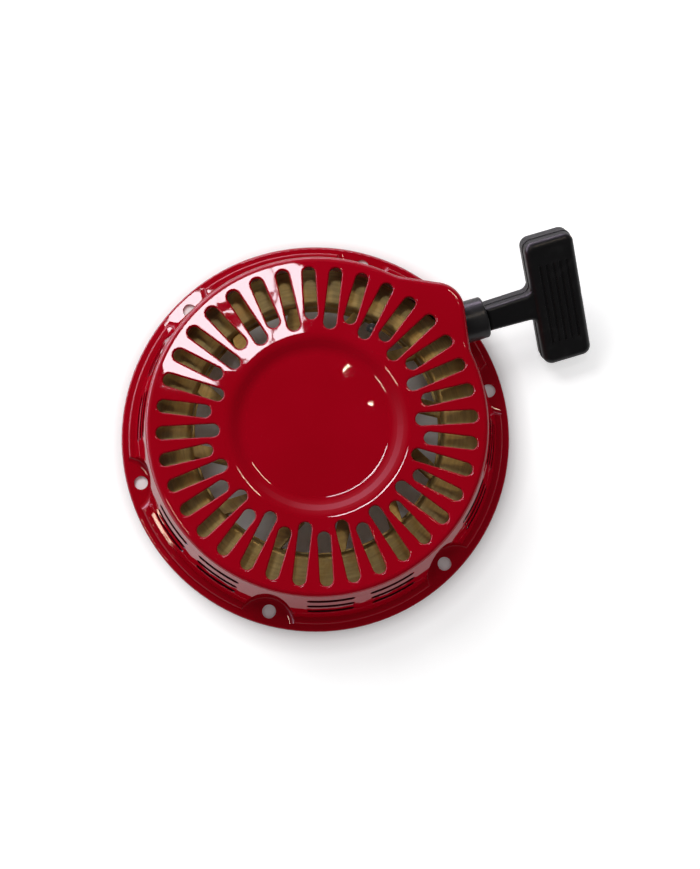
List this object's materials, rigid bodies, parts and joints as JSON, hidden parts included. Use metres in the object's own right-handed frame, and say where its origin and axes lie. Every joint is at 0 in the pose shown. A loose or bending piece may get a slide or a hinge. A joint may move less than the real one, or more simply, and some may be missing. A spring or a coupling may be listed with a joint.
{
  "type": "recoil starter",
  "caption": "Round slotted steel recoil starter cover with a flanged rim, a spring-wound rope reel, two pawls and a T-shaped pull handle.",
  "frame": {"origin": "centre of the bolt circle, on the underside of the mounting flange", "axes": "+Z out through the dished cover, away from the engine; +X towards the rope outlet side; the pull runs 17 degrees above +X towards +Y"},
  "size_m": [0.2504, 0.2095, 0.0534],
  "materials": {
    "red_paint": "gloss red paint on pressed sheet steel",
    "gold_zinc": "gold passivated zinc plate, satin",
    "black_plastic": "moulded black plastic, satin",
    "plain_steel": "zinc plated steel",
    "hard_steel": "hardened dark steel",
    "spring_steel": "oiled blue-grey spring steel",
    "bronze": "sintered bronze",
    "rope": "braided cord"
  },
  "bodies": {
    "cover": {"cover_shell": "red_paint", "centre_post": "plain_steel", "rope_guide": "black_plastic", "rope_guide_clip": "plain_steel", "recoil_spring": "spring_steel", "thrust_washer": "plain_steel", "friction_spring": "spring_steel", "screw_washer": "plain_steel", "centre_screw": "gold_zinc", "rope_run": "rope"},
    "reel": {"spring_cup": "gold_zinc", "reel_upper_plate": "gold_zinc", "reel_lower_plate": "gold_zinc", "reel_spacer_rivets": "plain_steel", "reel_bush": "bronze", "ratchet_pins": "plain_steel", "ratchet_return_springs": "spring_steel", "rope_wound": "rope", "rope_reel_knot": "rope"},
    "pawl_a": {"ratchet_a": "hard_steel"},
    "pawl_b": {"ratchet_b": "hard_steel"},
    "ratchet_guide": {"friction_plate": "gold_zinc"},
    "handle": {"handle_grip": "black_plastic", "handle_insert": "plain_steel", "handle_cap": "black_plastic", "rope_lead": "rope", "rope_handle_knot": "rope"}
  },
  "joints": [
    {"name": "reel_spin", "type": "hinge", "parent": "cover", "child": "reel", "pos_m": [0, 0, 0.027], "axis": [0, 0, -1], "range_deg": [0, 720]},
    {"name": "handle_pull", "type": "slide", "parent": "cover", "child": "handle", "axis": [0.9563, 0.2924, 0], "range_m": [0, 0.93]},
    {"name": "pawl_a_throw", "type": "hinge", "parent": "reel", "child": "pawl_a", "pos_m": [-0.00469, 0.02659, 0.02], "axis": [0, 0, 1], "range_deg": [0, 25]},
    {"name": "pawl_b_throw", "type": "hinge", "parent": "reel", "child": "pawl_b", "pos_m": [0.00469, -0.02659, 0.02], "axis": [0, 0, 1], "range_deg": [0, 25]},
    {"name": "ratchet_guide_lag", "type": "hinge", "parent": "reel", "child": "ratchet_guide", "pos_m": [0, 0, 0.0145], "axis": [0, 0, 1], "range_deg": [0, 20]}
  ],
  "couplings": [
    {"joint": "handle_pull", "follows": "reel_spin", "m_per_rad": 0.0738},
    {"joint": "pawl_b_throw", "follows": "pawl_a_throw", "ratio": 1},
    {"joint": "ratchet_guide_lag", "follows": "pawl_a_throw", "ratio": 0.8}
  ]
}
